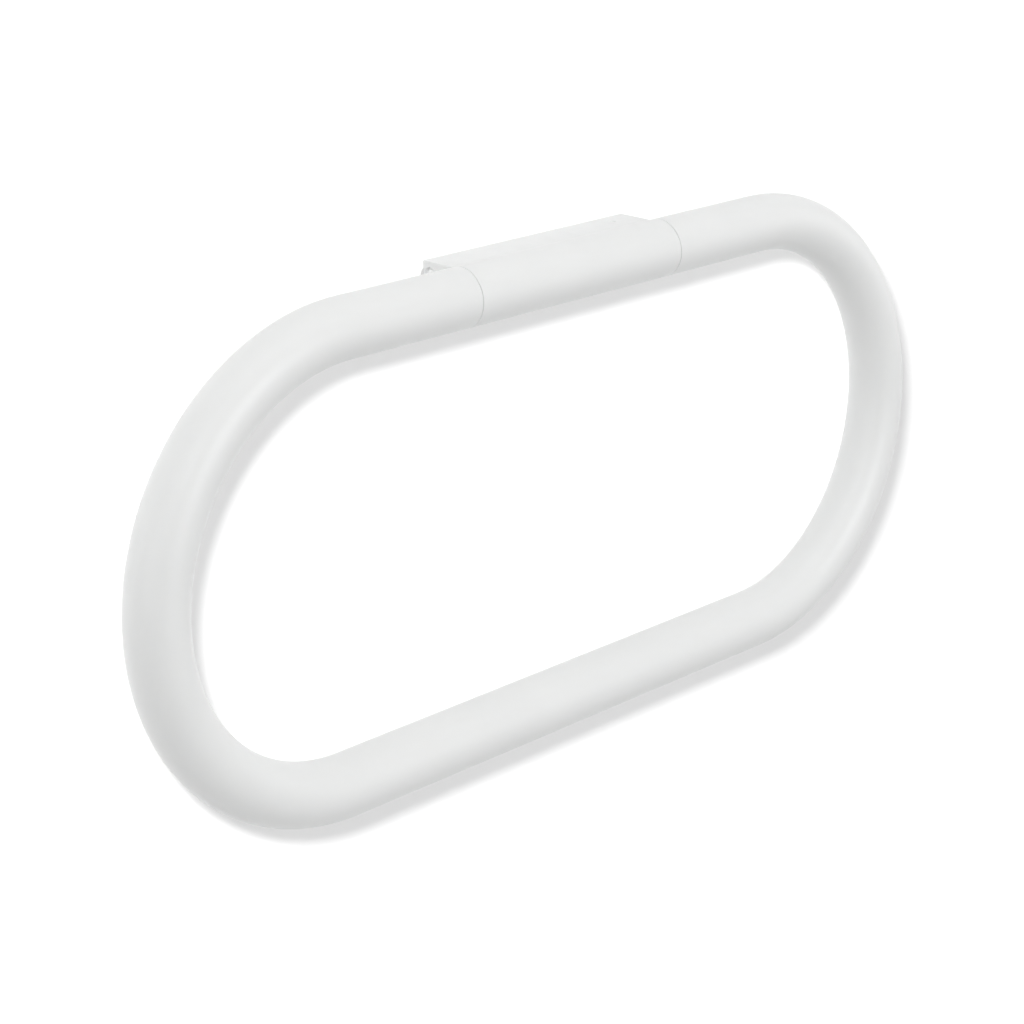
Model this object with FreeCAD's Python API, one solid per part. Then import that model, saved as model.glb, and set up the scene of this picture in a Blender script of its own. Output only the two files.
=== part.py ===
import FreeCAD, Part
import math
import os

from FreeCAD import Vector

# Wall-mounted oval towel ring.
#
# A thick round ring of white polyamide on a steel core hangs from a short
# holder block on the wall.  The block carries two steel pivot pins, and the
# ring's open ends turn on them, so that the ring swings out from the wall.
#
# Frame (mm): X along the holder, to the right when facing the wall.  +Y runs
# into the wall, whose face is the plane Y = 0.  +Z is up.  The origin lies on
# the wall's face, behind the middle of the holder, level with the pivot axis.
#
# Names in _X, _Y and _Z are places, or half sizes about the origin; those in
# _X0 and _X1, or _Y0 and _Y1, are the two ends of a span.  X places are given
# for the right side and mirrored to the left.

X = Vector(1, 0, 0)
Y = Vector(0, 1, 0)
Z = Vector(0, 0, 1)
SIDES = (1, -1)         # right, left
OVERCUT = 1.0           # how far a cutting tool runs past the face it opens

# Ring
AXIS_Y = -16.75         # pivot axis, ahead of the wall
END_R = 66.0            # centreline radius of the ring's round ends
HALF_STRAIGHT = 88.0    # half length of the straight runs, on the centreline
TUBE_R = 9.0            # polyamide jacket
TUBE_BORE_R = 7.0
TUBE_END_X = 42.7       # the jacket's open end faces
CORE_R = TUBE_BORE_R - 0.05     # steel core tube
CORE_BORE_R = 5.55
CORE_END_X = 44.2

# Pivots
PIN_R = 3.0
PIN_X0, PIN_X1 = 31.0, 53.0
PIN_CHAMFER = 0.6
PIN_SEAT_R = PIN_R + 0.03
PIN_LOCK_X = 35.0       # grub screws that hold the pins
GROOVE_HALF_WIDTH = 1.3  # groove in the pin, centred on its grub screw
GROOVE_R = 2.4

BUSH_R = 4.0            # acetal bush
BUSH_BORE_R = PIN_R + 0.05
BUSH_X0, BUSH_X1 = 42.9, 56.0   # from its flange, just inside the jacket's end
FLANGE_R = 6.8
FLANGE_T = 1.2

PLUG_R = CORE_BORE_R - 0.02     # plug pressed into the core, around the bush
PLUG_BORE_R = BUSH_R + 0.02
PLUG_X1 = 60.2

WASHER_R = FLANGE_R     # thrust washer between holder and ring
WASHER_BORE_R = 3.15
WASHER_X0, WASHER_X1 = 42.56, 42.84

# Stack on the wall: pad, then plate and block in front of it
PAD_T = 0.6
PAD_X, PAD_Z = 43.0, 6.0
PAD_CORNER_R = 2.0
PAD_HOLE_R = 2.6

PLATE_T = 2.0           # wall plate and its bent lugs
PLATE_X, PLATE_Z = 35.0, 5.7
PLATE_Y1 = -PAD_T
PLATE_Y0 = PLATE_Y1 - PLATE_T
LUG_Y = -6.6            # front edges of the lugs
BEND_R = 1.2            # outside radius of the bends
FIX_X = 25.0            # wall fixing centres
FIX_HOLE_R = 2.5

# Holder block
BLOCK_X = 42.5
BLOCK_Z = 8.2           # flat top and underside
BLOCK_REAR_Y = -PAD_T
WALL_T = 2.0            # shell thickness
INNER_R = TUBE_R - WALL_T
INNER_Z = BLOCK_Z - WALL_T
BOSS_X = 30.5           # inner faces of the pin bosses
BOSS_REAR_Y = -8.0
END_WALL_X = 38.5       # inner faces of the end walls, behind the bosses
REAR_EDGE_R = 0.3       # rounding along the rear of the flats
GATE_X, GATE_Y = 32.7, -6.3     # moulding gate dimple on top
GATE_R, GATE_DEPTH = 1.0, 0.5

# Wall screws
SCREW_R = 2.25          # over the thread
SCREW_NECK_R = 2.0
SCREW_HEAD_R = 4.1
COUNTERSINK_R = SCREW_HEAD_R + 0.1
SCREW_HEAD_Y = PLATE_Y0 + 0.02
SCREW_NECK_Y0 = PLATE_Y0 + 1.9  # inside the head
SCREW_THREAD_Y, SCREW_TIP_Y = -0.05, 37.4
NECK_OVERLAP = 0.5      # how far the neck runs into the thread
POINT_LENGTH, POINT_R = 4.0, 0.35
CROSS_WIDTH, CROSS_SPAN, CROSS_DEPTH = 1.0, 4.4, 1.6

# Grub screws, on the pins and in the ends of the block
GRUB_R = 1.5
GRUB_HOLE_R = GRUB_R + 0.03
SOCKET_ACROSS = 1.5     # hexagon socket, across the flats
SOCKET_DEPTH = 1.5

PIN_LOCK_TIP_Y = AXIS_Y + GROOVE_R + 0.05
PIN_LOCK_BODY_Y = AXIS_Y + PIN_R + 0.15
PIN_LOCK_HEAD_Y = BOSS_REAR_Y - 0.6
PIN_LOCK_DOG_R = 1.0
PIN_LOCK_OVERLAP = 0.15  # how far the dog point runs into the body

LOCK_Y, LOCK_Z = -3.5, 4.6      # locking screws, one in each end of the block
LOCK_X0, LOCK_X1 = 35.9, 41.0
LOCK_DOG_X, LOCK_DOG_R = 35.04, 0.65
LOCK_OVERLAP = 0.2

CAP_R, CAP_BUTTON_R = 1.85, 1.15        # cap over each locking screw
CAP_X0, CAP_DISC_X1, CAP_X1 = 41.1, 41.5, 42.2
CAP_HOLE_R = CAP_R + 0.05
CAP_HOLE_X0 = CAP_X0 - 0.05


# ------------------------------------------------------------------- helpers
def cyl_x(x0, x1, radius, y=AXIS_Y, z=0.0):
    """A round bar along X; its ends may be given in either order."""
    start, end = sorted((x0, x1))
    return Part.makeCylinder(radius, end - start, Vector(start, y, z), X)


def cyl_y(y0, y1, radius, x):
    """A round bar along Y, level with the pivot axis."""
    return Part.makeCylinder(radius, y1 - y0, Vector(x, y0, 0), Y)


def box(x0, x1, y0, y1, z0, z1):
    return Part.makeBox(x1 - x0, y1 - y0, z1 - z0, Vector(x0, y0, z0))


def one(shape):
    """The single solid in a boolean's result."""
    merged = shape.removeSplitter()
    assert len(merged.Solids) == 1, len(merged.Solids)
    return merged.Solids[0]


def left_of(right):
    """The left-hand twin of a right-hand piece."""
    return one(right.mirror(Vector(0, 0, 0), X))


def bored(shape, x0, x1, radius):
    """The shape with a bore along the pivot axis, open at x0 and x1."""
    return one(shape.cut(cyl_x(x0 - OVERCUT, x1 + OVERCUT, radius)))


def edges_at(shape, **distances):
    """Straight edges at these distances from the origin, on either side of it.

    Each keyword is an axis, X, Y or Z, along which the edge has no extent.
    """
    def fits(bounds, axis, distance):
        low = getattr(bounds, axis + "Min")
        high = getattr(bounds, axis + "Max")
        return abs(low - high) < 1e-6 and abs(abs(low) - distance) < 1e-6

    return [
        edge for edge in shape.Edges
        if all(fits(edge.BoundBox, axis, value) for axis, value in distances.items())
    ]


def hex_socket(floor, outward, sideways):
    """Tool for a grub screw's socket, from the middle of its floor out past the head."""
    corner_r = SOCKET_ACROSS / math.sqrt(3.0)
    angles = [math.radians(60 * k) for k in range(6)]
    corners = [
        floor + sideways * (corner_r * math.cos(a)) + Z * (corner_r * math.sin(a))
        for a in angles
    ]
    face = Part.Face(Part.makePolygon(corners + [corners[0]]))
    return face.extrude(outward * (SOCKET_DEPTH + OVERCUT))


# ---------------------------------------------------------------------- ring
def ring_bar(radius, end_x):
    """A round bar along the ring's centreline, open at the top between -end_x and end_x.

    Exact cylinders and half tori keep the section truly round.
    """
    top_length = HALF_STRAIGHT - end_x
    bar = Part.makeCylinder(
        radius, 2 * HALF_STRAIGHT, Vector(-HALF_STRAIGHT, AXIS_Y, -2 * END_R), X
    )
    for side in SIDES:
        x = side * HALF_STRAIGHT
        circle = Part.Circle(Vector(x, AXIS_Y, 0), X, radius)
        section = Part.Face(Part.Wire(circle.toShape()))
        bar = bar.fuse(section.revolve(Vector(x, AXIS_Y, -END_R), Y, 180.0 * side))
    for start in (end_x, -HALF_STRAIGHT):
        bar = bar.fuse(Part.makeCylinder(radius, top_length, Vector(start, AXIS_Y, 0), X))
    return bar.removeSplitter()


def ring_tube(radius, bore_radius, end_x):
    return one(ring_bar(radius, end_x).cut(ring_bar(bore_radius, end_x)))


# -------------------------------------------------------------------- pivots
def end_plug():
    return bored(cyl_x(CORE_END_X, PLUG_X1, PLUG_R), CORE_END_X, PLUG_X1, PLUG_BORE_R)


def pivot_bush():
    """Flanged bush that runs on the pivot pin."""
    flange = cyl_x(BUSH_X0, BUSH_X0 + FLANGE_T, FLANGE_R)
    bush = flange.fuse(cyl_x(BUSH_X0, BUSH_X1, BUSH_R))
    return bored(bush, BUSH_X0, BUSH_X1, BUSH_BORE_R)


def thrust_washer():
    washer = cyl_x(WASHER_X0, WASHER_X1, WASHER_R)
    return bored(washer, WASHER_X0, WASHER_X1, WASHER_BORE_R)


def pivot_pin():
    """Round bar with chamfered ends and a groove for its grub screw."""
    groove_x0 = PIN_LOCK_X - GROOVE_HALF_WIDTH
    groove_x1 = PIN_LOCK_X + GROOVE_HALF_WIDTH
    outline = [         # x, radius
        (PIN_X0, 0),
        (PIN_X0, PIN_R - PIN_CHAMFER),
        (PIN_X0 + PIN_CHAMFER, PIN_R),
        (groove_x0, PIN_R),
        (groove_x0, GROOVE_R),
        (groove_x1, GROOVE_R),
        (groove_x1, PIN_R),
        (PIN_X1 - PIN_CHAMFER, PIN_R),
        (PIN_X1, PIN_R - PIN_CHAMFER),
        (PIN_X1, 0),
    ]
    points = [Vector(x, AXIS_Y, radius) for x, radius in outline]
    face = Part.Face(Part.makePolygon(points + [points[0]]))
    return one(face.revolve(Vector(0, AXIS_Y, 0), X, 360.0))


def pin_lock_screw(x):
    """Grub screw whose dog point enters the pin's groove from behind."""
    screw = cyl_y(PIN_LOCK_BODY_Y, PIN_LOCK_HEAD_Y, GRUB_R, x)
    dog_end = PIN_LOCK_BODY_Y + PIN_LOCK_OVERLAP
    screw = screw.fuse(cyl_y(PIN_LOCK_TIP_Y, dog_end, PIN_LOCK_DOG_R, x))
    floor = Vector(x, PIN_LOCK_HEAD_Y - SOCKET_DEPTH, 0)
    return one(screw.cut(hex_socket(floor, outward=Y, sideways=X)))


# -------------------------------------------------------------------- holder
def d_bar(radius, half_z, rear_y, half_x):
    """A bar along X with a round front about the pivot axis, flat above and below."""
    def point(y, z):
        return Vector(-half_x, y, z)

    arc_end_y = AXIS_Y + math.sqrt(radius * radius - half_z * half_z)
    top, bottom = point(arc_end_y, half_z), point(arc_end_y, -half_z)
    rear_top, rear_bottom = point(rear_y, half_z), point(rear_y, -half_z)
    section = Part.Wire([
        Part.Arc(top, point(AXIS_Y - radius, 0), bottom).toShape(),
        Part.makeLine(bottom, rear_bottom),
        Part.makeLine(rear_bottom, rear_top),
        Part.makeLine(rear_top, top),
    ])
    return Part.Face(section).extrude(X * (2 * half_x))


def holder_body():
    open_y = BLOCK_REAR_Y + OVERCUT
    past_end = BLOCK_X + OVERCUT
    body = d_bar(TUBE_R, BLOCK_Z, BLOCK_REAR_Y, BLOCK_X)
    # main hollow between the bosses, and the longer space behind them for the wall plate
    body = body.cut(d_bar(INNER_R, INNER_Z, open_y, BOSS_X))
    body = body.cut(box(-END_WALL_X, END_WALL_X, BOSS_REAR_Y, open_y, -INNER_Z, INNER_Z))
    for side in SIDES:
        end = side * past_end
        # pivot pin seat, right through the boss and the end of the block
        body = body.cut(cyl_x(side * (BOSS_X - OVERCUT), end, PIN_SEAT_R))
        # hole for the pin's grub screw, reached from behind
        body = body.cut(
            cyl_y(AXIS_Y, BOSS_REAR_Y + OVERCUT, GRUB_HOLE_R, side * PIN_LOCK_X)
        )
        # hole for the locking screw, and the recess for the cap over it
        body = body.cut(cyl_x(side * PLATE_X, end, GRUB_HOLE_R, LOCK_Y, LOCK_Z))
        body = body.cut(cyl_x(side * CAP_HOLE_X0, end, CAP_HOLE_R, LOCK_Y, LOCK_Z))
    gate_floor = Vector(GATE_X, GATE_Y, BLOCK_Z - GATE_DEPTH)
    body = one(body.cut(Part.makeCylinder(GATE_R, GATE_DEPTH + OVERCUT, gate_floor, Z)))
    rear_edges = edges_at(body, Y=-BLOCK_REAR_Y, Z=BLOCK_Z)
    return one(body.makeFillet(REAR_EDGE_R, rear_edges))


def locking_screw():
    """Grub screw that clamps the block to the wall plate's lug."""
    screw = cyl_x(LOCK_X0, LOCK_X1, GRUB_R, LOCK_Y, LOCK_Z)
    screw = screw.fuse(
        cyl_x(LOCK_DOG_X, LOCK_X0 + LOCK_OVERLAP, LOCK_DOG_R, LOCK_Y, LOCK_Z)
    )
    floor = Vector(LOCK_X1 - SOCKET_DEPTH, LOCK_Y, LOCK_Z)
    return one(screw.cut(hex_socket(floor, outward=X, sideways=Y)))


def locking_screw_cap():
    """Thin disc that fills the recess, with a button to pull it out by."""
    disc = cyl_x(CAP_X0, CAP_DISC_X1, CAP_R, LOCK_Y, LOCK_Z)
    return one(disc.fuse(cyl_x(CAP_X0, CAP_X1, CAP_BUTTON_R, LOCK_Y, LOCK_Z)))


# --------------------------------------------------------------- wall fixing
def backing_pad():
    """Thin pad against the wall, a little longer than the block."""
    pad = box(-PAD_X, PAD_X, -PAD_T, 0, -PAD_Z, PAD_Z)
    pad = pad.makeFillet(PAD_CORNER_R, edges_at(pad, X=PAD_X, Z=PAD_Z))
    for side in SIDES:
        pad = pad.cut(cyl_y(-PAD_T - OVERCUT, OVERCUT, PAD_HOLE_R, side * FIX_X))
    return one(pad)


def wall_plate():
    """Stainless plate with a lug bent forward at each end and two countersunk holes."""
    plate = box(-PLATE_X, PLATE_X, PLATE_Y0, PLATE_Y1, -PLATE_Z, PLATE_Z)
    for side in SIDES:
        lug_x0, lug_x1 = sorted((side * (PLATE_X - PLATE_T), side * PLATE_X))
        plate = plate.fuse(box(lug_x0, lug_x1, LUG_Y, PLATE_Y1, -PLATE_Z, PLATE_Z))
    plate = plate.removeSplitter()
    plate = plate.makeFillet(BEND_R, edges_at(plate, X=PLATE_X, Y=-PLATE_Y1))
    sink_depth = COUNTERSINK_R - FIX_HOLE_R
    for side in SIDES:
        x = side * FIX_X
        plate = plate.cut(cyl_y(PLATE_Y0 - OVERCUT, PLATE_Y1 + OVERCUT, FIX_HOLE_R, x))
        plate = plate.cut(
            Part.makeCone(COUNTERSINK_R, FIX_HOLE_R, sink_depth, Vector(x, PLATE_Y0, 0), Y)
        )
    return one(plate)


def wall_screw(x):
    """Countersunk screw with a cross recess."""
    head_depth = SCREW_HEAD_R - SCREW_NECK_R
    point_y = SCREW_TIP_Y - POINT_LENGTH
    screw = Part.makeCone(
        SCREW_HEAD_R, SCREW_NECK_R, head_depth, Vector(x, SCREW_HEAD_Y, 0), Y
    )
    screw = screw.fuse(
        cyl_y(SCREW_NECK_Y0, SCREW_THREAD_Y + NECK_OVERLAP, SCREW_NECK_R, x)
    )
    screw = screw.fuse(cyl_y(SCREW_THREAD_Y, point_y, SCREW_R, x))
    screw = screw.fuse(
        Part.makeCone(SCREW_R, POINT_R, POINT_LENGTH, Vector(x, point_y, 0), Y)
    )
    for width, height in ((CROSS_WIDTH, CROSS_SPAN), (CROSS_SPAN, CROSS_WIDTH)):
        screw = screw.cut(box(
            x - width / 2, x + width / 2,
            PLATE_Y0 - OVERCUT, PLATE_Y0 + CROSS_DEPTH,
            -height / 2, height / 2,
        ))
    return one(screw)


# --------------------------------------------------------------------- files
parts = {
    "ring_tube": ring_tube(TUBE_R, TUBE_BORE_R, TUBE_END_X),
    "ring_core": ring_tube(CORE_R, CORE_BORE_R, CORE_END_X),
    "holder_body": holder_body(),
    "backing_pad": backing_pad(),
    "wall_plate": wall_plate(),
}

# a file for each side
for name, build in (
    ("end_plug", end_plug),
    ("pivot_bush", pivot_bush),
    ("pivot_pin", pivot_pin),
    ("thrust_washer", thrust_washer),
):
    right = build()
    parts[name + "_right"] = right
    parts[name + "_left"] = left_of(right)

# both sides in one file, the left one mirrored
for name, build in (
    ("locking_screws", locking_screw),
    ("locking_screw_caps", locking_screw_cap),
):
    right = build()
    parts[name] = Part.makeCompound([right, left_of(right)])

# both sides in one file, each built in its place
for name, build, place_x in (
    ("pin_lock_screws", pin_lock_screw, PIN_LOCK_X),
    ("wall_screws", wall_screw, FIX_X),
):
    parts[name] = Part.makeCompound([build(side * place_x) for side in SIDES])

os.makedirs("parts", exist_ok=True)
for name, shape in parts.items():
    assert shape.isValid(), name
    assert all(solid.isClosed() and solid.Volume > 0 for solid in shape.Solids), name
    shape.exportStep("parts/%s.step" % name)
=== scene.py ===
import math

import bmesh
import bpy
from mathutils import Matrix, Vector


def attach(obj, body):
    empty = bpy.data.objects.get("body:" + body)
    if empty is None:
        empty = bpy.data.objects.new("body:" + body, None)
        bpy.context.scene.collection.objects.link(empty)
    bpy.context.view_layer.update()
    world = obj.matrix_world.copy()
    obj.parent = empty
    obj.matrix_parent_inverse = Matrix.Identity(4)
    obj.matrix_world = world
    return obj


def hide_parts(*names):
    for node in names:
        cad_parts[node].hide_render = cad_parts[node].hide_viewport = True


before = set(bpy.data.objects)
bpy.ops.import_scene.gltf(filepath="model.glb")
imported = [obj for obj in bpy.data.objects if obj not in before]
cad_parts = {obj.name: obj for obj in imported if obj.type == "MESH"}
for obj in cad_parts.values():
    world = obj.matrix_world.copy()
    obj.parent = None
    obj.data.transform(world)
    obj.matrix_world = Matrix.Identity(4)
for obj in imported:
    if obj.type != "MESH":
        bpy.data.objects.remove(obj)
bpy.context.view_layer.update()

# A wall-mounted oval towel ring in white polyamide.  Lengths below are in
# millimetres in the CAD frame, and become metres as each mesh is made.
MM = 0.001
AXIS_Y = -16.75
TUBE_R, TUBE_BORE_R = 9.0, 7.0
END_R, HALF_STRAIGHT = 66.0, 88.0
TUBE_END_X = 42.7
BLOCK_X, BLOCK_Z, BLOCK_REAR_Y = 42.5, 8.2, -0.6


PIECES = []


# ------------------------------------------------------------- mesh building
def shade(mesh, angle):
    mesh.polygons.foreach_set("use_smooth", [True] * len(mesh.polygons))
    mesh.set_sharp_from_angle(angle=math.radians(angle))


def piece(name, verts, faces, body, node, slot, angle=30.0):
    """A finished mesh in the row frame that stands for one CAD node."""
    mesh = bpy.data.meshes.new(name)
    mesh.from_pydata([Vector(v) * MM for v in verts], [], faces)
    mesh.validate()
    bm = bmesh.new()
    bm.from_mesh(mesh)
    bmesh.ops.recalc_face_normals(bm, faces=bm.faces)
    bm.to_mesh(mesh)
    bm.free()
    return finish_piece(name, mesh, body, node, slot, angle)


def finish_piece(name, mesh, body, node, slot, angle=30.0):
    shade(mesh, angle)
    o = bpy.data.objects.new(name, mesh)
    bpy.context.scene.collection.objects.link(o)
    mesh.materials.append(MATERIALS[slot])
    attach(o, body)
    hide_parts(node)
    PIECES.append(o)
    return o


def ring_faces(n, a, b, closed_u=True):
    """Quads between two loops of n vertices that start at indices a and b."""
    out = []
    for i in range(n if closed_u else n - 1):
        j = (i + 1) % n
        out.append((a + i, a + j, b + j, b + i))
    return out


def loft(loops, closed_v=False, cap=True):
    """Skins a list of equal-length loops; returns verts and faces."""
    n = len(loops[0])
    verts = [v for loop in loops for v in loop]
    faces = []
    m = len(loops)
    for k in range(m if closed_v else m - 1):
        faces += ring_faces(n, k * n, ((k + 1) % m) * n)
    if cap and not closed_v:
        faces.append(tuple(range(n - 1, -1, -1)))
        faces.append(tuple(range((m - 1) * n, m * n)))
    return verts, faces


def lathe(profile, segs=96, axis="x", at=(0.0, 0.0), closed=False):
    """Turns a profile of (along, radius) points about an axis.  at is the axis's
    place in the two other directions.  A radius of 0 makes a pole."""
    verts, faces, rows = [], [], []
    for s, r in profile:
        if r <= 1e-9:
            verts.append((s, 0.0, 0.0))
            rows.append([len(verts) - 1])
            continue
        row = []
        for i in range(segs):
            t = 2 * math.pi * i / segs
            verts.append((s, r * math.cos(t), r * math.sin(t)))
            row.append(len(verts) - 1)
        rows.append(row)
    pairs = list(zip(rows, rows[1:]))
    if closed:
        pairs.append((rows[-1], rows[0]))
    for a, b in pairs:
        for i in range(segs):
            j = (i + 1) % segs
            if len(a) == 1 and len(b) == 1:
                continue
            if len(a) == 1:
                faces.append((a[0], b[i], b[j]))
            elif len(b) == 1:
                faces.append((a[i], a[j], b[0]))
            else:
                faces.append((a[i], a[j], b[j], b[i]))
    p, q = at
    if axis == "x":
        verts = [(s, p + u, q + v) for s, u, v in verts]
    else:
        verts = [(p + u, s, q + v) for s, u, v in verts]
    return verts, faces


def join(*shapes):
    verts, faces = [], []
    for v, f in shapes:
        k = len(verts)
        verts += v
        faces += [tuple(i + k for i in face) for face in f]
    return verts, faces


def flip_x(shape):
    v, f = shape
    return [(-x, y, z) for x, y, z in v], [tuple(reversed(face)) for face in f]


def rounded(points, r, steps=4):
    """Rounds the corners of an open profile of (along, radius) points; r may be a list."""
    out = [points[0]]
    for k in range(1, len(points) - 1):
        rk = r[k] if isinstance(r, (list, tuple)) else r
        p = Vector(points[k]).to_2d()
        a = Vector(points[k - 1]).to_2d() - p
        b = Vector(points[k + 1]).to_2d() - p
        la, lb = a.length, b.length
        if rk <= 0 or la < 1e-9 or lb < 1e-9:
            out.append(tuple(p))
            continue
        a.normalize()
        b.normalize()
        cut = min(rk, la * 0.49, lb * 0.49)
        p0, p1 = p + a * cut, p + b * cut
        for i in range(steps + 1):
            t = i / steps
            q = p0 * (1 - t) ** 2 + p * 2 * t * (1 - t) + p1 * t * t
            out.append(tuple(q))
    out.append(points[-1])
    return out


# ---- booleans, worked in millimetres and brought to metres at the end
def solid(verts, faces):
    mesh = bpy.data.meshes.new("work")
    mesh.from_pydata([Vector(v) for v in verts], [], faces)
    bm = bmesh.new()
    bm.from_mesh(mesh)
    bmesh.ops.recalc_face_normals(bm, faces=bm.faces)
    bm.to_mesh(mesh)
    bm.free()
    o = bpy.data.objects.new("work", mesh)
    bpy.context.scene.collection.objects.link(o)
    return o


def boolean(base, tools, operation="DIFFERENCE"):
    for t in tools:
        m = base.modifiers.new("b", "BOOLEAN")
        m.operation = operation
        m.solver = "EXACT"
        m.object = t
    bpy.context.view_layer.update()
    dg = bpy.context.evaluated_depsgraph_get()
    mesh = bpy.data.meshes.new_from_object(base.evaluated_get(dg))
    for o in [base] + list(tools):
        bpy.data.objects.remove(o)
    return mesh


def bevelled(mesh, width, segments=3, angle=35.0):
    """Rounds the sharp edges of a mesh in millimetres."""
    o = bpy.data.objects.new("work", mesh)
    bpy.context.scene.collection.objects.link(o)
    m = o.modifiers.new("bevel", "BEVEL")
    m.width = width
    m.segments = segments
    m.limit_method = "ANGLE"
    m.angle_limit = math.radians(angle)
    m.use_clamp_overlap = True
    bpy.context.view_layer.update()
    dg = bpy.context.evaluated_depsgraph_get()
    out = bpy.data.meshes.new_from_object(o.evaluated_get(dg))
    bpy.data.objects.remove(o)
    return out


def to_metres(mesh):
    mesh.transform(Matrix.Scale(MM, 4))
    return mesh


def box(x0, x1, y0, y1, z0, z1):
    v = [(x, y, z) for x in (x0, x1) for y in (y0, y1) for z in (z0, z1)]
    f = [(0, 1, 3, 2), (4, 6, 7, 5), (0, 4, 5, 1), (2, 3, 7, 6), (0, 2, 6, 4), (1, 5, 7, 3)]
    return v, f


def rod(s0, s1, r, axis="x", at=(0.0, 0.0), segs=48):
    return lathe([(s0, 0.0), (s0, r), (s1, r), (s1, 0.0)], segs, axis, at)


def cone(s0, r0, s1, r1, axis="x", at=(0.0, 0.0), segs=64):
    return lathe([(s0, 0.0), (s0, r0), (s1, r1), (s1, 0.0)], segs, axis, at)


# ------------------------------------------------------------------ materials
def base_material(name):
    m = bpy.data.materials.new(name)
    m.use_nodes = True
    nt = m.node_tree
    nt.nodes.clear()
    out = nt.nodes.new("ShaderNodeOutputMaterial")
    bsdf = nt.nodes.new("ShaderNodeBsdfPrincipled")
    nt.links.new(bsdf.outputs["BSDF"], out.inputs["Surface"])
    coord = nt.nodes.new("ShaderNodeTexCoord")
    return m, nt, bsdf, coord


def noise(nt, vector, scale, detail=2.0, rough=0.5, stretch=None, distortion=0.0):
    if stretch is not None:
        mp = nt.nodes.new("ShaderNodeMapping")
        mp.inputs["Scale"].default_value = stretch
        nt.links.new(vector, mp.inputs["Vector"])
        vector = mp.outputs["Vector"]
    n = nt.nodes.new("ShaderNodeTexNoise")
    n.inputs["Scale"].default_value = scale
    n.inputs["Detail"].default_value = detail
    n.inputs["Roughness"].default_value = rough
    n.inputs["Distortion"].default_value = distortion
    nt.links.new(vector, n.inputs["Vector"])
    return n.outputs["Fac"]


def spread(nt, value, low, high, lo_in=0.3, hi_in=0.7):
    r = nt.nodes.new("ShaderNodeMapRange")
    r.inputs["From Min"].default_value = lo_in
    r.inputs["From Max"].default_value = hi_in
    r.inputs["To Min"].default_value = low
    r.inputs["To Max"].default_value = high
    nt.links.new(value, r.inputs["Value"])
    return r.outputs["Result"]


def mix_colour(nt, fac, a, b):
    m = nt.nodes.new("ShaderNodeMix")
    m.data_type = "RGBA"
    m.inputs["A"].default_value = (*a, 1.0)
    m.inputs["B"].default_value = (*b, 1.0)
    nt.links.new(fac, m.inputs["Factor"])
    return m.outputs["Result"]


def bump(nt, bsdf, layers):
    """Layers of (height, distance in metres, strength), finest last."""
    normal = None
    for height, distance, strength in layers:
        b = nt.nodes.new("ShaderNodeBump")
        b.inputs["Distance"].default_value = distance
        b.inputs["Strength"].default_value = strength
        nt.links.new(height, b.inputs["Height"])
        if normal is not None:
            nt.links.new(normal, b.inputs["Normal"])
        normal = b.outputs["Normal"]
    nt.links.new(normal, bsdf.inputs["Normal"])


def plastic(name, colour, tint, rough, grain=0.000012, gloss=0.5, scatter=0.0):
    """Moulded satin plastic: a faint cloud of colour, an orange-peel skin and a finer grain."""
    m, nt, bsdf, coord = base_material(name)
    at = coord.outputs["Object"]
    cloud = noise(nt, at, 38.0, 3.0, 0.55)
    nt.links.new(mix_colour(nt, spread(nt, cloud, 0.0, 1.0), colour, tint), bsdf.inputs["Base Color"])
    patch = noise(nt, at, 160.0, 4.0, 0.6)
    nt.links.new(spread(nt, patch, rough - 0.05, rough + 0.05), bsdf.inputs["Roughness"])
    peel = noise(nt, at, 620.0, 2.0, 0.5)
    fine = noise(nt, at, 4200.0, 3.0, 0.6)
    bump(nt, bsdf, [(peel, grain, 0.6), (fine, grain * 0.35, 0.6)])
    bsdf.inputs["Specular IOR Level"].default_value = gloss
    bsdf.inputs["IOR"].default_value = 1.5
    if scatter:
        bsdf.inputs["Subsurface Weight"].default_value = scatter
        bsdf.inputs["Subsurface Radius"].default_value = (1.0, 0.9, 0.8)
        bsdf.inputs["Subsurface Scale"].default_value = 0.0012
    return m


def metal(name, colour, tint, rough, stretch=(1.0, 1.0, 1.0), scale=1800.0, depth=0.000006, metallic=1.0):
    """Metal with drawn or turned marks along one direction, and a slow change of colour."""
    m, nt, bsdf, coord = base_material(name)
    at = coord.outputs["Object"]
    cloud = noise(nt, at, 90.0, 4.0, 0.6)
    nt.links.new(mix_colour(nt, spread(nt, cloud, 0.0, 1.0), colour, tint), bsdf.inputs["Base Color"])
    marks = noise(nt, at, scale, 4.0, 0.65, stretch)
    nt.links.new(spread(nt, marks, rough - 0.08, rough + 0.1), bsdf.inputs["Roughness"])
    bump(nt, bsdf, [(marks, depth, 0.7)])
    bsdf.inputs["Metallic"].default_value = metallic
    return m


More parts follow.
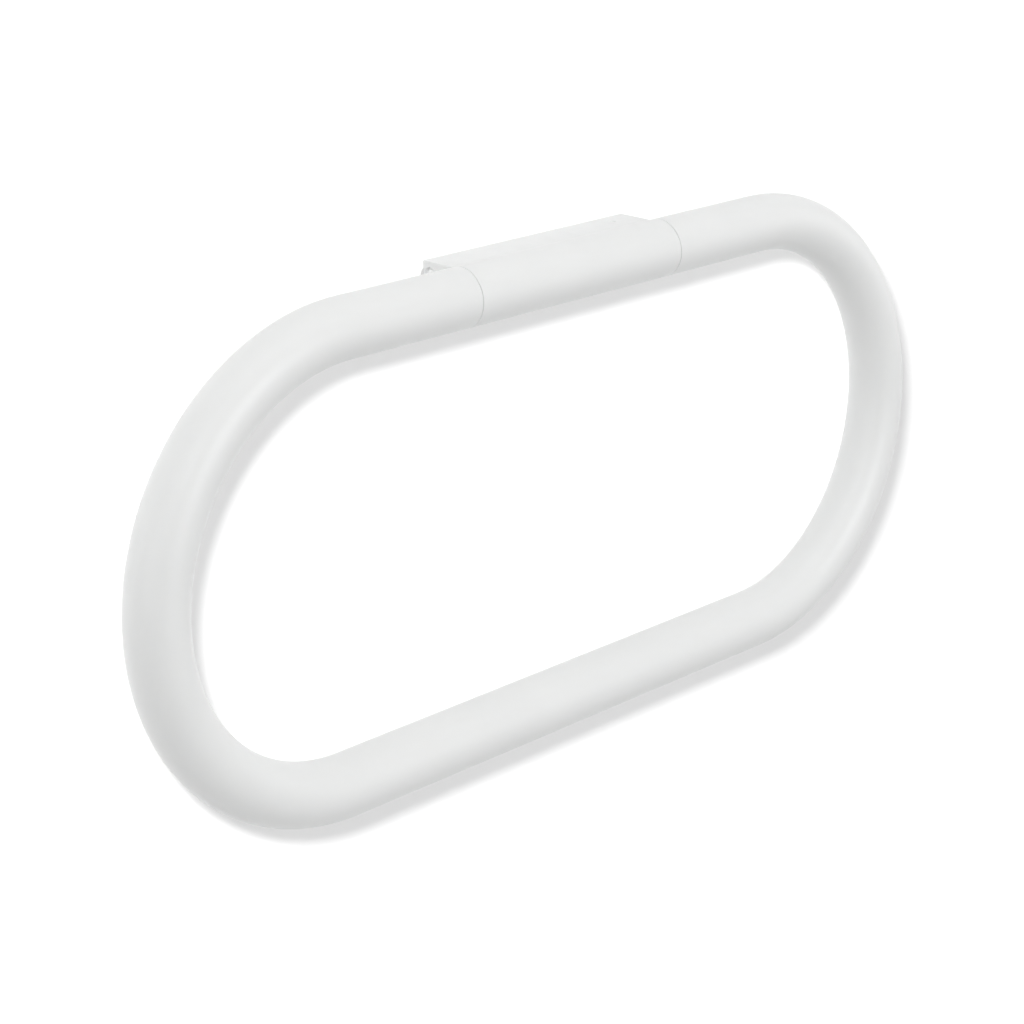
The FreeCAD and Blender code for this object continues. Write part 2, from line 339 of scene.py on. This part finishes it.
MATERIALS = {
    "polyamide_white": plastic("polyamide_white", (0.637, 0.642, 0.639), (0.625, 0.631, 0.628), 0.42, scatter=0.08),
    "cap_polyamide": plastic("cap_polyamide", (0.76, 0.765, 0.76), (0.74, 0.745, 0.74), 0.38),
    "pad_elastomer": plastic("pad_elastomer", (0.64, 0.645, 0.64), (0.61, 0.615, 0.61), 0.75, grain=0.00003, gloss=0.25),
    "acetal_natural": plastic("acetal_natural", (0.78, 0.775, 0.74), (0.74, 0.735, 0.70), 0.35, scatter=0.1),
    "core_steel": metal("core_steel", (0.44, 0.45, 0.46), (0.36, 0.37, 0.38), 0.38, (0.12, 1.0, 0.12)),
    "plug_aluminium": metal("plug_aluminium", (0.74, 0.75, 0.76), (0.66, 0.67, 0.68), 0.3, (1.0, 0.08, 0.08), 2600.0),
    "pin_steel": metal("pin_steel", (0.62, 0.62, 0.63), (0.54, 0.54, 0.55), 0.2, (1.0, 0.06, 0.06), 3200.0, 0.000003),
    "grub_screw_steel": metal("grub_screw_steel", (0.16, 0.16, 0.17), (0.09, 0.09, 0.10), 0.45, scale=900.0, metallic=0.9),
    "plate_stainless": metal("plate_stainless", (0.56, 0.56, 0.57), (0.48, 0.48, 0.49), 0.3, (0.05, 1.0, 1.0), 2400.0),
    "wall_screw_zinc": metal("wall_screw_zinc", (0.66, 0.67, 0.66), (0.58, 0.57, 0.50), 0.33, scale=700.0),
}


# ------------------------------------------------------------------- the ring
def run_points(end_x, step_deg=2.0, straight=8.0):
    """Centreline points and tangents from the right open end, round the ring, to the left one."""
    pts = []
    n = max(2, int(round((HALF_STRAIGHT - end_x) / straight)))
    for i in range(n):
        x = end_x + (HALF_STRAIGHT - end_x) * i / n
        pts.append(((x, 0.0), (1.0, 0.0)))
    arc = int(round(180.0 / step_deg))
    for i in range(arc + 1):
        t = math.pi / 2 - math.pi * i / arc
        pts.append(
            (
                (HALF_STRAIGHT + END_R * math.cos(t), -END_R + END_R * math.sin(t)),
                (math.sin(t), -math.cos(t)),
            )
        )
    n = int(round(2 * HALF_STRAIGHT / straight))
    for i in range(1, n):
        pts.append(((HALF_STRAIGHT - 2 * HALF_STRAIGHT * i / n, -2 * END_R), (-1.0, 0.0)))
    for i in range(arc + 1):
        t = -math.pi / 2 - math.pi * i / arc
        pts.append(
            (
                (-HALF_STRAIGHT + END_R * math.cos(t), -END_R + END_R * math.sin(t)),
                (math.sin(t), -math.cos(t)),
            )
        )
    n = max(2, int(round((HALF_STRAIGHT - end_x) / straight)))
    for i in range(1, n + 1):
        x = -HALF_STRAIGHT + (HALF_STRAIGHT - end_x) * i / n
        pts.append(((x, 0.0), (1.0, 0.0)))
    return pts


def section(centre, tangent, r, segs):
    """A circle square to the tangent; the ring lies in the XZ plane at the pivot's depth."""
    (x, z), (tx, tz) = centre, tangent
    nx, nz = -tz, tx
    out = []
    for i in range(segs):
        a = 2 * math.pi * i / segs
        c, s = math.cos(a) * r, math.sin(a) * r
        out.append((x + nx * c, AXIS_Y + s, z + nz * c))
    return out


def pipe(r_out, r_in, end_x, edge_out, edge_in, segs=96):
    """A closed tube along the ring's run, with rounded rims at its two open ends."""
    run = run_points(end_x)
    loops = []

    def rim(point, tangent, inward, flip):
        """Loops from the bore over the rim to the outside, at one end."""
        (x, z) = point
        rings = []
        steps = 4
        for k in range(steps + 1):
            t = math.pi / 2 * k / steps
            rings.append((edge_in * (1 - math.sin(t)), r_in + edge_in * (1 - math.cos(t))))
        for k in range(steps + 1):
            t = math.pi / 2 * k / steps
            rings.append((edge_out * (1 - math.cos(t)), r_out - edge_out * (1 - math.sin(t))))
        out = [
            section((x + tangent[0] * inward * d, z), tangent, r, segs) for d, r in rings
        ]
        return out[::-1] if flip else out

    loops += rim(run[0][0], run[0][1], 1.0, False)
    for p, t in run[1:-1]:
        loops.append(section(p, t, r_out, segs))
    loops += rim(run[-1][0], run[-1][1], -1.0, True)
    for p, t in reversed(run[1:-1]):
        loops.append(section(p, t, r_in, segs))
    return loft(loops, closed_v=True)


piece("ring_tube_visual", *pipe(TUBE_R, TUBE_BORE_R, TUBE_END_X, 0.22, 0.2, 112), "ring", "ring_tube", "polyamide_white", 40)
piece("ring_core_visual", *pipe(6.95, 5.55, 44.2, 0.25, 0.25, 64), "ring", "ring_core", "core_steel", 40)


def turned_ring(profile, name, body, node_name, slot, segs=96, mirror=False):
    shape = lathe(profile, segs, "x", (AXIS_Y, 0.0), closed=True)
    if mirror:
        shape = flip_x(shape)
    return piece(name, *shape, body, node_name, slot, 28)


def closed_rounded(points, r, steps=3):
    """Rounds every corner of a closed profile."""
    n = len(points)
    out = []
    for k in range(n):
        p = Vector(points[k]).to_2d()
        a = Vector(points[k - 1]).to_2d() - p
        b = Vector(points[(k + 1) % n]).to_2d() - p
        la, lb = a.length, b.length
        a.normalize()
        b.normalize()
        cut = min(r, la * 0.45, lb * 0.45)
        p0, p1 = p + a * cut, p + b * cut
        for i in range(steps + 1):
            t = i / steps
            out.append(tuple(p0 * (1 - t) ** 2 + p * 2 * t * (1 - t) + p1 * t * t))
    return out


PLUG = closed_rounded(
    [(44.2, 4.02), (44.2, 5.53), (49.2, 5.53), (49.2, 5.2), (50.0, 5.2), (50.0, 5.53), (60.2, 5.53), (60.2, 4.02)], 0.3
)
BUSH = closed_rounded(
    [(42.9, 3.05), (42.9, 6.8), (44.1, 6.8), (44.1, 4.0), (56.0, 4.0), (56.0, 3.05)], 0.15
)
WASHER = closed_rounded([(42.56, 3.15), (42.56, 6.8), (42.84, 6.8), (42.84, 3.15)], 0.07)
for side, mirror in (("right", False), ("left", True)):
    turned_ring(PLUG, "end_plug_%s_visual" % side, "ring", "end_plug_%s" % side, "plug_aluminium", mirror=mirror)
    turned_ring(BUSH, "pivot_bush_%s_visual" % side, "ring", "pivot_bush_%s" % side, "acetal_natural", mirror=mirror)
    turned_ring(WASHER, "thrust_washer_%s_visual" % side, "holder", "thrust_washer_%s" % side, "acetal_natural", mirror=mirror)

PIN = [(31.0, 0.0), (31.0, 2.4), (31.6, 3.0), (33.7, 3.0), (33.7, 2.4), (36.3, 2.4), (36.3, 3.0), (52.4, 3.0), (53.0, 2.4), (53.0, 0.0)]
PIN = rounded(PIN, 0.12, 3)
for side, mirror in (("right", False), ("left", True)):
    shape = lathe(PIN, 96, "x", (AXIS_Y, 0.0))
    piece(
        "pivot_pin_%s_visual" % side,
        *(flip_x(shape) if mirror else shape),
        "holder",
        "pivot_pin_%s" % side,
        "pin_steel",
        28,
    )


# ------------------------------------------------------------------ the holder
def d_loop(x, inset, arc=96, flat=10, rear=10, r=TUBE_R, half_z=BLOCK_Z, y_rear=BLOCK_REAR_Y, edge=0.3):
    """The block's section: round in front, flat above and below, with small rear corners."""
    r, hz, yr = r - inset, half_z - inset, y_rear - inset * 0.5
    dy = math.sqrt(r * r - hz * hz)
    a0 = math.atan2(hz, dy)
    pts = []
    # over the front, from the top crease to the bottom one
    for i in range(arc + 1):
        t = a0 + (2 * math.pi - 2 * a0) * i / arc
        pts.append((x, AXIS_Y + r * math.cos(t), r * math.sin(t)))
    # underside to the rear
    y0, y1 = AXIS_Y + dy, yr - edge
    for i in range(1, flat + 1):
        pts.append((x, y0 + (y1 - y0) * i / flat, -hz))
    for i in range(1, 5):
        t = math.pi / 2 * i / 4
        pts.append((x, yr - edge + edge * math.sin(t), -hz + edge * (1 - math.cos(t))))
    z0, z1 = -hz + edge, hz - edge
    for i in range(1, rear + 1):
        pts.append((x, yr, z0 + (z1 - z0) * i / rear))
    for i in range(1, 5):
        t = math.pi / 2 * i / 4
        pts.append((x, yr - edge * (1 - math.cos(t)), hz - edge + edge * math.sin(t)))
    for i in range(1, flat):
        pts.append((x, y1 + (y0 - y1) * i / flat, hz))
    return pts


def block_shell():
    edge = 0.22
    loops = []
    for k in range(5):
        t = math.pi / 2 * k / 4
        loops.append(d_loop(-BLOCK_X + edge * (1 - math.cos(t)), edge * (1 - math.sin(t))))
    for i in range(1, 16):
        loops.append(d_loop(-BLOCK_X + edge + (2 * BLOCK_X - 2 * edge) * i / 16, 0.0))
    for k in range(5):
        t = math.pi / 2 * (4 - k) / 4
        loops.append(d_loop(BLOCK_X - edge * (1 - math.cos(t)), edge * (1 - math.sin(t))))
    base = solid(*loft(loops))
    hollow = [d_loop(x, 0.0, 64, 6, 6, 7.0, 6.2, 1.5, 0.3) for x in (-30.5, 30.5)]
    tools = [
        solid(*loft(hollow)),
        solid(*box(-38.5, 38.5, -8.0, 1.0, -6.2, 6.2)),
    ]
    for side in (1, -1):
        a, b = sorted((side * 29.5, side * 43.5))
        tools.append(solid(*rod(a, b, 3.03, "x", (AXIS_Y, 0.0), 64)))
        a, b = sorted((side * 35.0, side * 43.5))
        tools.append(solid(*rod(a, b, 1.53, "x", (-3.5, 4.6), 64)))
        # the recess for the cap, with a fine lead-in at its mouth
        a, b = sorted((side * 41.05, side * 43.5))
        tools.append(solid(*rod(a, b, 1.9, "x", (-3.5, 4.6), 96)))
        a, b = (42.38, 42.62) if side > 0 else (-42.62, -42.38)
        ra, rb = (1.87, 2.11) if side > 0 else (2.11, 1.87)
        tools.append(solid(*cone(a, ra, b, rb, "x", (-3.5, 4.6), 96)))
        tools.append(solid(*rod(AXIS_Y, -7.0, 1.53, "y", (side * 35.0, 0.0), 48)))
    # the gate dimple: a shallow dish in the flat top
    dish = []
    for k in range(9):
        t = math.pi / 2 * k / 8
        dish.append((BLOCK_Z + 0.05 - 0.5 * math.cos(t), 1.0 * math.sin(t)))
    dish += [(BLOCK_Z + 1.0, 1.0), (BLOCK_Z + 1.0, 0.0)]
    dv, df = lathe(dish, 48, "x")
    dv = [(32.7 + v, -6.3 + w, u) for u, v, w in dv]
    tools.append(solid(dv, df))
    return to_metres(boolean(base, tools))


finish_piece("holder_body_visual", block_shell(), "holder", "holder_body", "polyamide_white", 26)

# cap over each locking screw: a disc that fills the recess, with a small button
# on it that ends a touch below the end face
CAP = rounded([(41.1, 0.0), (41.1, 1.85), (41.5, 1.85), (41.5, 1.15), (42.2, 1.15), (42.2, 0.0)], 0.16, 4)
cap = lathe(CAP, 96, "x", (-3.5, 4.6))
piece("locking_screw_caps_visual", *join(cap, flip_x(cap)), "holder", "locking_screw_caps", "cap_polyamide", 30)


# ---- backing pad
def rounded_rect(hx, hz, r, n=10):
    pts = []
    for cx, cz, a0 in ((hx - r, hz - r, 0), (-hx + r, hz - r, 90), (-hx + r, -hz + r, 180), (hx - r, -hz + r, 270)):
        for i in range(n + 1):
            t = math.radians(a0 + 90.0 * i / n)
            pts.append((cx + r * math.cos(t), cz + r * math.sin(t)))
    return pts


def backing_pad():
    e = 0.15
    loops = []
    for y, inset in ((-0.6, e), (-0.6 + 0.05, 0.045), (-0.6 + e, 0.0), (-e, 0.0), (-0.05, 0.045), (0.0, e)):
        loops.append([(x, y, z) for x, z in rounded_rect(43.0 - inset, 6.0 - inset, 2.0 - inset)])
    base = solid(*loft(loops))
    tools = [solid(*rod(-1.0, 1.0, 2.6, "y", (s * 25.0, 0.0), 64)) for s in (1, -1)]
    return to_metres(boolean(base, tools))


finish_piece("backing_pad_visual", backing_pad(), "holder", "backing_pad", "pad_elastomer", 30)


# ---- wall plate: one strip of stainless with a bent lug at each end
def wall_plate():
    t, bend = 2.0, 1.4
    outer, inner = [], []
    # the strip's outer line from the left lug's tip, round the bends, to the right one's
    for i in range(9):
        a = math.pi - math.pi / 2 * i / 8
        # left bend, centre inside the corner
        outer.append((-35.0 + bend + bend * math.cos(a), -0.6 - bend + bend * math.sin(a)))
    line = [(-35.0, -6.6)] + outer
    right = [(-x, y) for x, y in reversed(line)]
    line = line + right
    back = [(33.0, -6.6), (33.0, -2.9), (32.7, -2.6), (-32.7, -2.6), (-33.0, -2.9), (-33.0, -6.6)]
    outline = line + back
    loops = [[(x, y, z) for x, y in outline] for z in (-5.7, -2.0, 2.0, 5.7)]
    base = solid(*loft(loops))
    tools = []
    for s in (1, -1):
        tools.append(solid(*rod(-4.0, 1.0, 2.5, "y", (s * 25.0, 0.0), 64)))
        tools.append(solid(*cone(-3.0, 4.6, -0.9, 2.5, "y", (s * 25.0, 0.0), 64)))
    return to_metres(bevelled(boolean(base, tools), 0.15, 2))


finish_piece("wall_plate_visual", wall_plate(), "holder", "wall_plate", "plate_stainless", 30)


# ---- screws with real threads
def threaded(s0, s1, core, crest, pitch, segs, steps, run_in=0.0, run_out=0.0, tip=None):
    """Loops of a threaded shank along s: a ridge that climbs one pitch per turn."""
    loops = []
    n = max(2, int(round((s1 - s0) / pitch * steps)))
    for k in range(n + 1):
        s = s0 + (s1 - s0) * k / n
        fade = 1.0
        if run_in > 0:
            fade = min(fade, (s - s0) / run_in)
        if run_out > 0:
            fade = min(fade, (s1 - s) / run_out)
        fade = max(0.0, min(1.0, fade))
        shrink = 1.0
        if tip is not None and s > tip[0]:
            shrink = 1.0 - (1.0 - tip[1]) * (s - tip[0]) / (s1 - tip[0])
        loop = []
        for i in range(segs):
            a = 2 * math.pi * i / segs
            phase = (s / pitch - i / segs) % 1.0
            ridge = max(0.0, 1.0 - abs(phase - 0.5) * 2.0 / 0.55)
            ridge = min(1.0, ridge * 1.25)
            r = (core + (crest - core) * ridge * fade) * shrink
            loop.append((s, r * math.cos(a), r * math.sin(a)))
        loops.append(loop)
    return loops


def circle_loop(s, r, segs):
    return [
        (s, r * math.cos(2 * math.pi * i / segs), r * math.sin(2 * math.pi * i / segs))
        for i in range(segs)
    ]


def along_y(shape, x, z):
    v, f = shape
    return [(x + b, a, z + c) for a, b, c in v], f


def along_x(shape, y, z):
    v, f = shape
    return [(a, y + b, z + c) for a, b, c in v], f


def screw_with(shape, tools):
    mesh = boolean(solid(*shape), [solid(*t) for t in tools])
    return mesh


def merge(meshes):
    bm = bmesh.new()
    for m in meshes:
        bm.from_mesh(m)
    out = bpy.data.meshes.new("merged")
    bm.to_mesh(out)
    bm.free()
    return out


def wall_screw(x):
    segs = 40
    loops = [circle_loop(s, r, segs) for s, r in ((-2.58, 3.7), (-2.56, 3.95), (-2.46, 4.08), (-2.36, 3.9), (-0.5, 2.02), (-0.3, 1.98), (-0.06, 1.98))]
    loops += threaded(-0.04, 37.2, 1.55, 2.25, 1.9, segs, 14, 1.0, 0.0, (32.4, 0.12))
    shape = along_y(loft(loops), x, 0.0)
    cross = []
    for w, h in ((0.95, 4.2), (4.2, 0.95)):
        v = []
        for y, k in ((-3.2, 1.08), (-1.1, 0.62)):
            for a, b in ((-w, -h), (w, -h), (w, h), (-w, h)):
                thin = 1.0 if k > 1 else 0.8
                fa = k if abs(a) > 1 else thin
                fb = k if abs(b) > 1 else thin
                v.append((x + a * fa / 2, y, b * fb / 2))
        cross.append((v, [(0, 1, 2, 3), (7, 6, 5, 4), (0, 4, 5, 1), (1, 5, 6, 2), (2, 6, 7, 3), (3, 7, 4, 0)]))
    return screw_with(shape, cross)


finish_piece(
    "wall_screws_visual",
    to_metres(merge([wall_screw(25.0), wall_screw(-25.0)])),
    "holder",
    "wall_screws",
    "wall_screw_zinc",
    40,
)


def hex_prism(s0, s1, across):
    r = across / math.sqrt(3.0)
    loops = []
    for s in (s0, s1):
        loops.append([(s, r * math.cos(math.pi / 3 * k), r * math.sin(math.pi / 3 * k)) for k in range(6)])
    return loft(loops)


def grub(s_tip, dog_r, s_body, s_head, segs=40):
    """A grub screw along +s: dog point first, threaded body, hexagon socket in its head."""
    loops = [circle_loop(s_tip, dog_r * 0.8, segs), circle_loop(s_tip + 0.12, dog_r, segs)]
    loops += [circle_loop(s_body - 0.05, dog_r, segs), circle_loop(s_body, 1.2, segs)]
    loops += threaded(s_body + 0.06, s_head - 0.12, 1.22, 1.5, 0.5, segs, 10, 0.4, 0.4)
    loops += [circle_loop(s_head - 0.06, 1.2, segs), circle_loop(s_head, 1.1, segs)]
    shape = loft(loops)
    return shape, hex_prism(s_head - 1.5, s_head + 0.5, 1.5)


body, socket = grub(35.04, 0.65, 35.9, 41.0)
right = screw_with(along_x(body, -3.5, 4.6), [along_x(socket, -3.5, 4.6)])
left = right.copy()
left.transform(Matrix.Diagonal((-1.0, 1.0, 1.0, 1.0)))
left.flip_normals()
finish_piece("locking_screws_visual", to_metres(merge([right, left])), "holder", "locking_screws", "grub_screw_steel", 40)

meshes = []
for x in (35.0, -35.0):
    body, socket = grub(AXIS_Y + 2.45, 1.0, AXIS_Y + 3.15, -8.6)
    meshes.append(screw_with(along_y(body, x, 0.0), [along_y(socket, x, 0.0)]))
finish_piece("pin_lock_screws_visual", to_metres(merge(meshes)), "holder", "pin_lock_screws", "grub_screw_steel", 40)


# ------------------------------------------------------------------- the stage
def plane(name, corners, material):
    mesh = bpy.data.meshes.new(name)
    mesh.from_pydata([Vector(c) for c in corners], [], [(0, 1, 2, 3)])
    mesh.materials.append(material)
    o = bpy.data.objects.new(name, mesh)
    bpy.context.scene.collection.objects.link(o)
    return o


def painted(name, colour, tint, rough, see_through=False):
    """Pale paint with a faint roller texture.  A wall seen from behind lets the eye through,
    and well away from the object it glows for the camera alone, a painted light that makes it look as white as it does
    in the lamp's light."""
    m, nt, bsdf, coord = base_material(name)
    at = coord.outputs["Object"]
    cloud = noise(nt, at, 3.0, 3.0, 0.5)
    nt.links.new(mix_colour(nt, spread(nt, cloud, 0.0, 1.0), colour, tint), bsdf.inputs["Base Color"])
    bsdf.inputs["Roughness"].default_value = rough
    bsdf.inputs["Specular IOR Level"].default_value = 0.2
    skin = noise(nt, at, 450.0, 3.0, 0.55)
    bump(nt, bsdf, [(skin, 0.00004, 0.35)])
    if see_through:
        out = [n for n in nt.nodes if n.type == "OUTPUT_MATERIAL"][0]
        geo = nt.nodes.new("ShaderNodeNewGeometry")
        path = nt.nodes.new("ShaderNodeLightPath")
        both = nt.nodes.new("ShaderNodeMath")
        both.operation = "MULTIPLY"
        nt.links.new(geo.outputs["Backfacing"], both.inputs[0])
        nt.links.new(path.outputs["Is Camera Ray"], both.inputs[1])
        clear = nt.nodes.new("ShaderNodeBsdfTransparent")
        mix = nt.nodes.new("ShaderNodeMixShader")
        # painted light: the wall glows for camera rays only, more the further it is from the ring, standing in for the
        # lamp's light there
        away = nt.nodes.new("ShaderNodeVectorMath")
        away.operation = "DISTANCE"
        away.inputs[1].default_value = (0.0, 0.0, -0.066)
        nt.links.new(geo.outputs["Position"], away.inputs[0])
        painted_glow_ramp = nt.nodes.new("ShaderNodeMapRange")
        painted_glow_ramp.interpolation_type = "SMOOTHSTEP"
        painted_glow_ramp.inputs["From Min"].default_value = 0.24
        painted_glow_ramp.inputs["From Max"].default_value = 0.38
        painted_glow_ramp.inputs["To Max"].default_value = 0.6
        nt.links.new(away.outputs["Value"], painted_glow_ramp.inputs["Value"])
        seen = nt.nodes.new("ShaderNodeMath")
        seen.operation = "MULTIPLY"
        nt.links.new(painted_glow_ramp.outputs["Result"], seen.inputs[0])
        nt.links.new(path.outputs["Is Camera Ray"], seen.inputs[1])
        bsdf.inputs["Emission Color"].default_value = (1.0, 1.0, 1.0, 1.0)
        nt.links.new(seen.outputs[0], bsdf.inputs["Emission Strength"])
        nt.links.new(both.outputs[0], mix.inputs["Fac"])
        nt.links.new(bsdf.outputs["BSDF"], mix.inputs[1])
        nt.links.new(clear.outputs["BSDF"], mix.inputs[2])
        nt.links.new(mix.outputs["Shader"], out.inputs["Surface"])
    return m


WALL_Y = 0.00005
FLOOR_Z = -1.35


def wall_with_opening(name, material, half_w, top, hx, hz):
    """A wall face with a small opening just inside the backing pad's outline, so that
    the pad's rear, which bears on the wall, is lit when it is looked at from behind."""
    xs, zs = (-half_w, -hx, hx, half_w), (FLOOR_Z, -hz, hz, top)
    verts = [(x, WALL_Y, z) for z in zs for x in xs]
    faces = []
    for j in range(3):
        for i in range(3):
            if (i, j) != (1, 1):
                a = j * 4 + i
                faces.append((a, a + 1, a + 5, a + 4))
    mesh = bpy.data.meshes.new(name)
    mesh.from_pydata(verts, [], faces)
    mesh.materials.append(material)
    o = bpy.data.objects.new(name, mesh)
    bpy.context.scene.collection.objects.link(o)
    return o


wall = wall_with_opening(
    "wall",
    painted("wall_paint", (0.93, 0.93, 0.93), (0.92, 0.92, 0.92), 0.7, see_through=True),
    4.0,
    2.2,
    0.0421,
    0.0051,
)
floor = plane(
    "floor",
    [(-4.0, -6.0, FLOOR_Z), (4.0, -6.0, FLOOR_Z), (4.0, 4.0, FLOOR_Z), (-4.0, 4.0, FLOOR_Z)],
    painted("floor_paint", (0.85, 0.85, 0.85), (0.83, 0.83, 0.83), 0.6),
)


# ----------------------------------------------------------------------- light
def group(name, objects):
    c = bpy.data.collections.new(name)
    for o in objects:
        c.objects.link(o)
    return c


def aim(name, data, place, onto):
    o = bpy.data.objects.new(name, data)
    bpy.context.scene.collection.objects.link(o)
    o.location = place
    o.rotation_mode = "QUATERNION"
    o.rotation_quaternion = (CENTRE - Vector(place)).to_track_quat("-Z", "Y")
    o.visible_camera = False
    if onto is not None:
        o.light_linking.receiver_collection = onto
    return o


def area(name, place, size, power, onto=None, shadow=True):
    """A round soft box aimed at the ring.  onto limits what it lights."""
    data = bpy.data.lights.new(name, "AREA")
    data.shape = "DISK"
    data.size = size
    data.energy = power
    data.use_shadow = shadow
    return aim(name, data, place, onto)


def spot(name, place, radius, power, cone_deg, even_at, onto=None):
    """A soft-edged spot without fall-off, of its stated power at even_at metres."""
    data = bpy.data.lights.new(name, "SPOT")
    data.shadow_soft_size = radius
    data.energy = power
    data.spot_size = math.radians(cone_deg)
    data.spot_blend = 0.6
    data.use_nodes = True
    nt = data.node_tree
    nt.nodes.clear()
    out = nt.nodes.new("ShaderNodeOutputLight")
    glow = nt.nodes.new("ShaderNodeEmission")
    fall = nt.nodes.new("ShaderNodeLightFalloff")
    fall.inputs["Strength"].default_value = 1.0 / even_at**2
    nt.links.new(fall.outputs["Constant"], glow.inputs["Strength"])
    nt.links.new(glow.outputs["Emission"], out.inputs["Surface"])
    return aim(name, data, place, onto)


# The wall has one small soft key from the upper left, near the camera, which throws
# the ring's shadow, and an even fill.  The object has a flatter set of soft boxes.
CENTRE = Vector((0.0, -0.016, -0.066))
SURROUND = group("surround", [wall, floor])
OBJECT = group("object", PIECES)
KEY_AZ, KEY_EL = math.radians(46.0), math.radians(33.0)
KEY_FROM = Vector((-math.sin(KEY_AZ) * math.cos(KEY_EL), -math.cos(KEY_AZ) * math.cos(KEY_EL), math.sin(KEY_EL)))
spot("wall_key", (-0.633, -0.5305, 0.320), 0.048, 27.6, 64.0, 0.905, SURROUND)
area("wall_fill", (0.3, -2.4, 0.4), 1.6, 21.6, SURROUND, False)
area("key", CENTRE + KEY_FROM * 2.6, 0.6, 10.1, OBJECT)
area("front", (0.3, -2.4, 0.4), 1.6, 32.2, OBJECT, False)
area("left", (-2.2, -0.9, 0.1), 1.6, 8.4, OBJECT, False)
area("left_rear", (-1.9, 1.5, 0.3), 1.4, 6.5, OBJECT, False)
area("overhead", (0.0, -0.9, 1.9), 1.6, 9.6, OBJECT, False)
area("top_right", (1.3, -0.8, 1.6), 1.4, 3.6, OBJECT, False)
area("right", (2.2, -0.9, 0.1), 1.6, 7.2, OBJECT, False)
area("low_right", (1.3, -0.9, -1.1), 1.2, 0.6, OBJECT, False)
# behind the wall: it only reaches what the opening in the wall shows
area("rear", (0.7, 2.2, 0.8), 1.4, 30.0)

world = bpy.data.worlds.new("studio")
bpy.context.scene.world = world
world.use_nodes = True
world.node_tree.nodes["Background"].inputs["Color"].default_value = (1.0, 1.0, 1.0, 1.0)
# an even pale surround; looked at from the front and the sides, its backdrop is white
sky = world.node_tree.nodes["Background"]
links = world.node_tree.links
heading = world.node_tree.nodes.new("ShaderNodeSeparateXYZ")
links.new(world.node_tree.nodes.new("ShaderNodeTexCoord").outputs["Generated"], heading.inputs[0])
backdrop = world.node_tree.nodes.new("ShaderNodeMapRange")
backdrop.inputs["From Min"].default_value = -0.5
backdrop.inputs["From Max"].default_value = -0.22
backdrop.inputs["To Max"].default_value = 0.62
links.new(heading.outputs["Y"], backdrop.inputs["Value"])
looked_at = world.node_tree.nodes.new("ShaderNodeMath")
looked_at.operation = "MULTIPLY"
links.new(backdrop.outputs["Result"], looked_at.inputs[0])
links.new(world.node_tree.nodes.new("ShaderNodeLightPath").outputs["Is Camera Ray"], looked_at.inputs[1])
strength = world.node_tree.nodes.new("ShaderNodeMath")
strength.inputs[1].default_value = 0.40
links.new(looked_at.outputs[0], strength.inputs[0])
links.new(strength.outputs[0], sky.inputs["Strength"])

# ---------------------------------------------------------------------- camera
CAM_AT = Vector((-0.5705136, -0.5574747, 0.1966700))
YAW, PITCH, ROLL = math.radians(45.4098), math.radians(-8.5278), math.radians(-0.0152)
fwd = Vector((math.sin(YAW) * math.cos(PITCH), math.cos(YAW) * math.cos(PITCH), math.sin(PITCH)))
side_dir = Vector((math.cos(YAW), -math.sin(YAW), 0.0))
up_dir = side_dir.cross(fwd)
x_dir = side_dir * math.cos(ROLL) + up_dir * math.sin(ROLL)
y_dir = up_dir * math.cos(ROLL) - side_dir * math.sin(ROLL)
cam_data = bpy.data.cameras.new("camera")
cam_data.sensor_width = 36.0
cam_data.lens = 95.5374
cam_data.clip_start, cam_data.clip_end = 0.01, 50.0
cam = bpy.data.objects.new("camera", cam_data)
bpy.context.scene.collection.objects.link(cam)
cam.matrix_world = Matrix(
    (
        (x_dir.x, y_dir.x, -fwd.x, CAM_AT.x),
        (x_dir.y, y_dir.y, -fwd.y, CAM_AT.y),
        (x_dir.z, y_dir.z, -fwd.z, CAM_AT.z),
        (0.0, 0.0, 0.0, 1.0),
    )
)
bpy.context.scene.camera = cam
# The view is framed with the lens shifted down, as a rising-front camera does.
# The shift holds only where the camera stands for this view: moved anywhere
# else, it looks straight ahead.  A keyed curve reads forty times the camera's x.
cam_data.shift_x = -0.00019
SHIFT_Y, SPREAD = -0.49128, 40
curve = cam_data.driver_add("shift_y")
curve.driver.type = "SUM"
for k in range(SPREAD):
    var = curve.driver.variables.new()
    var.name = "x%d" % k
    var.type = "TRANSFORMS"
    var.targets[0].id = cam
    var.targets[0].transform_type = "LOC_X"
    var.targets[0].transform_space = "WORLD_SPACE"
for m in list(curve.modifiers):
    curve.modifiers.remove(m)
for offset, value in ((-0.06, 0.0), (-0.04, SHIFT_Y), (0.04, SHIFT_Y), (0.06, 0.0)):
    key = curve.keyframe_points.insert(CAM_AT.x * SPREAD + offset, value)
    key.interpolation = "LINEAR"
curve.extrapolation = "CONSTANT"

bpy.context.scene.view_settings.view_transform = "Standard"
bpy.context.scene.view_settings.look = "None"

# ------------------------------------------------------------------- update
bpy.context.view_layer.update()
